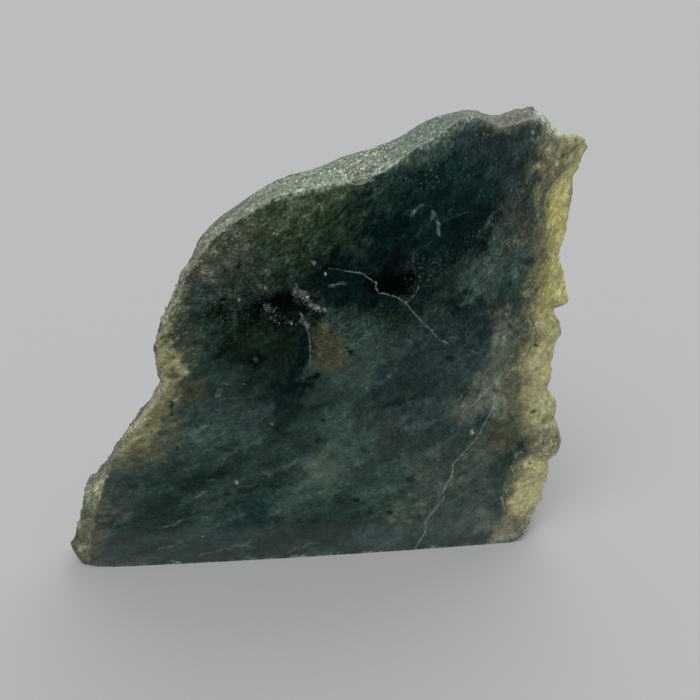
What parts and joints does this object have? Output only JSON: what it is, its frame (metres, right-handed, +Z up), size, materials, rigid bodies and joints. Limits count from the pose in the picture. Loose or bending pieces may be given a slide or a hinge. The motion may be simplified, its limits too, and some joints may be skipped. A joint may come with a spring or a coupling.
{
  "type": "labradorite chunk",
  "caption": "Rough labradorite chunk that stands on a sawn foot, with a polished front face, a broken translucent rim and a rough cleaved back.",
  "frame": {"origin": "middle of the bounding box's floor, in the plane of the sawn foot", "axes": "+X along the polished face to its right, -Y out of the polished face, +Z up from the foot"},
  "size_m": [0.144, 0.033, 0.1273],
  "materials": {
    "labradorite": "dark green-blue stone, polished on the front face, rough and olive to yellow on the broken rim"
  },
  "bodies": {
    "root": {"labradorite_chunk": "labradorite"}
  },
  "joints": []
}
